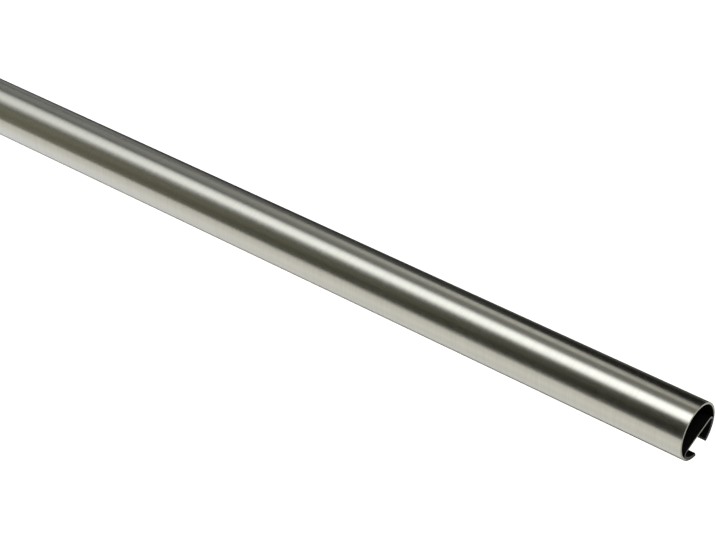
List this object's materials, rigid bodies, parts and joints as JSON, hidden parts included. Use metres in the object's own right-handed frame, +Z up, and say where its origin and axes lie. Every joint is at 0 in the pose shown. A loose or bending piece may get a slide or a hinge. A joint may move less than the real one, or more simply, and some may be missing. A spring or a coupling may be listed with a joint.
{
  "type": "curtain rod",
  "caption": "Slotted round curtain rod with an inner track liner, sliding gliders with swivel eyes for curtain hooks, and clamped end stops.",
  "frame": {"origin": "on the tube's axis, halfway along the rod", "axes": "+X along the rod, +Z up, so the track's slot opens towards -Z"},
  "size_m": [1, 0.02, 0.028],
  "materials": {
    "tube_steel": "fine brushing round the tube, satin nickel look",
    "liner_steel": "plain rolled sheet",
    "glider_nylon": "moulded, slightly waxy",
    "eye_nylon": "moulded, slightly waxy",
    "stop_zinc": "die-cast zinc, tumbled",
    "screw_steel": "black oxide"
  },
  "bodies": {
    "rod": {"rod_tube": "tube_steel", "track_liner": "liner_steel"},
    "stop_left": {"end_stop_left": "stop_zinc"},
    "screw_left": {"stop_screw_left": "screw_steel"},
    "stop_right": {"end_stop_right": "stop_zinc"},
    "screw_right": {"stop_screw_right": "screw_steel"},
    "glider_01": {"glider_body_01": "glider_nylon"},
    "eye_01": {"glider_eye_01": "eye_nylon"},
    "glider_02": {"glider_body_02": "glider_nylon"},
    "eye_02": {"glider_eye_02": "eye_nylon"},
    "glider_03": {"glider_body_03": "glider_nylon"},
    "eye_03": {"glider_eye_03": "eye_nylon"},
    "glider_04": {"glider_body_04": "glider_nylon"},
    "eye_04": {"glider_eye_04": "eye_nylon"},
    "glider_05": {"glider_body_05": "glider_nylon"},
    "eye_05": {"glider_eye_05": "eye_nylon"},
    "glider_06": {"glider_body_06": "glider_nylon"},
    "eye_06": {"glider_eye_06": "eye_nylon"},
    "glider_07": {"glider_body_07": "glider_nylon"},
    "eye_07": {"glider_eye_07": "eye_nylon"},
    "glider_08": {"glider_body_08": "glider_nylon"},
    "eye_08": {"glider_eye_08": "eye_nylon"},
    "glider_09": {"glider_body_09": "glider_nylon"},
    "eye_09": {"glider_eye_09": "eye_nylon"},
    "glider_10": {"glider_body_10": "glider_nylon"},
    "eye_10": {"glider_eye_10": "eye_nylon"}
  },
  "joints": [
    {"name": "stop_left_slide", "type": "slide", "parent": "rod", "child": "stop_left", "axis": [1, 0, 0], "range_m": [-0.017, 0.04]},
    {"name": "screw_left_turn", "type": "hinge", "parent": "stop_left", "child": "screw_left", "pos_m": [-0.476, 0, -0.0053], "axis": [0, 0, -1], "range_deg": [0, 720]},
    {"name": "stop_right_slide", "type": "slide", "parent": "rod", "child": "stop_right", "axis": [1, 0, 0], "range_m": [-0.04, 0.017]},
    {"name": "screw_right_turn", "type": "hinge", "parent": "stop_right", "child": "screw_right", "pos_m": [0.476, 0, -0.0053], "axis": [0, 0, -1], "range_deg": [0, 720]},
    {"name": "glider_01_slide", "type": "slide", "parent": "rod", "child": "glider_01", "axis": [1, 0, 0], "range_m": [-0.04, 0.081]},
    {"name": "eye_01_swivel", "type": "hinge", "parent": "glider_01", "child": "eye_01", "pos_m": [-0.423, 0, -0.01494], "axis": [0, 0, 1], "continuous": true},
    {"name": "glider_02_slide", "type": "slide", "parent": "rod", "child": "glider_02", "axis": [1, 0, 0], "range_m": [-0.081, 0.081]},
    {"name": "eye_02_swivel", "type": "hinge", "parent": "glider_02", "child": "eye_02", "pos_m": [-0.329, 0, -0.01494], "axis": [0, 0, 1], "continuous": true},
    {"name": "glider_03_slide", "type": "slide", "parent": "rod", "child": "glider_03", "axis": [1, 0, 0], "range_m": [-0.081, 0.081]},
    {"name": "eye_03_swivel", "type": "hinge", "parent": "glider_03", "child": "eye_03", "pos_m": [-0.235, 0, -0.01494], "axis": [0, 0, 1], "continuous": true},
    {"name": "glider_04_slide", "type": "slide", "parent": "rod", "child": "glider_04", "axis": [1, 0, 0], "range_m": [-0.081, 0.081]},
    {"name": "eye_04_swivel", "type": "hinge", "parent": "glider_04", "child": "eye_04", "pos_m": [-0.141, 0, -0.01494], "axis": [0, 0, 1], "continuous": true},
    {"name": "glider_05_slide", "type": "slide", "parent": "rod", "child": "glider_05", "axis": [1, 0, 0], "range_m": [-0.081, 0.081]},
    {"name": "eye_05_swivel", "type": "hinge", "parent": "glider_05", "child": "eye_05", "pos_m": [-0.047, 0, -0.01494], "axis": [0, 0, 1], "continuous": true},
    {"name": "glider_06_slide", "type": "slide", "parent": "rod", "child": "glider_06", "axis": [1, 0, 0], "range_m": [-0.081, 0.081]},
    {"name": "eye_06_swivel", "type": "hinge", "parent": "glider_06", "child": "eye_06", "pos_m": [0.047, 0, -0.01494], "axis": [0, 0, 1], "continuous": true},
    {"name": "glider_07_slide", "type": "slide", "parent": "rod", "child": "glider_07", "axis": [1, 0, 0], "range_m": [-0.081, 0.081]},
    {"name": "eye_07_swivel", "type": "hinge", "parent": "glider_07", "child": "eye_07", "pos_m": [0.141, 0, -0.01494], "axis": [0, 0, 1], "continuous": true},
    {"name": "glider_08_slide", "type": "slide", "parent": "rod", "child": "glider_08", "axis": [1, 0, 0], "range_m": [-0.081, 0.081]},
    {"name": "eye_08_swivel", "type": "hinge", "parent": "glider_08", "child": "eye_08", "pos_m": [0.235, 0, -0.01494], "axis": [0, 0, 1], "continuous": true},
    {"name": "glider_09_slide", "type": "slide", "parent": "rod", "child": "glider_09", "axis": [1, 0, 0], "range_m": [-0.081, 0.081]},
    {"name": "eye_09_swivel", "type": "hinge", "parent": "glider_09", "child": "eye_09", "pos_m": [0.329, 0, -0.01494], "axis": [0, 0, 1], "continuous": true},
    {"name": "glider_10_slide", "type": "slide", "parent": "rod", "child": "glider_10", "axis": [1, 0, 0], "range_m": [-0.081, 0.04]},
    {"name": "eye_10_swivel", "type": "hinge", "parent": "glider_10", "child": "eye_10", "pos_m": [0.423, 0, -0.01494], "axis": [0, 0, 1], "continuous": true}
  ]
}
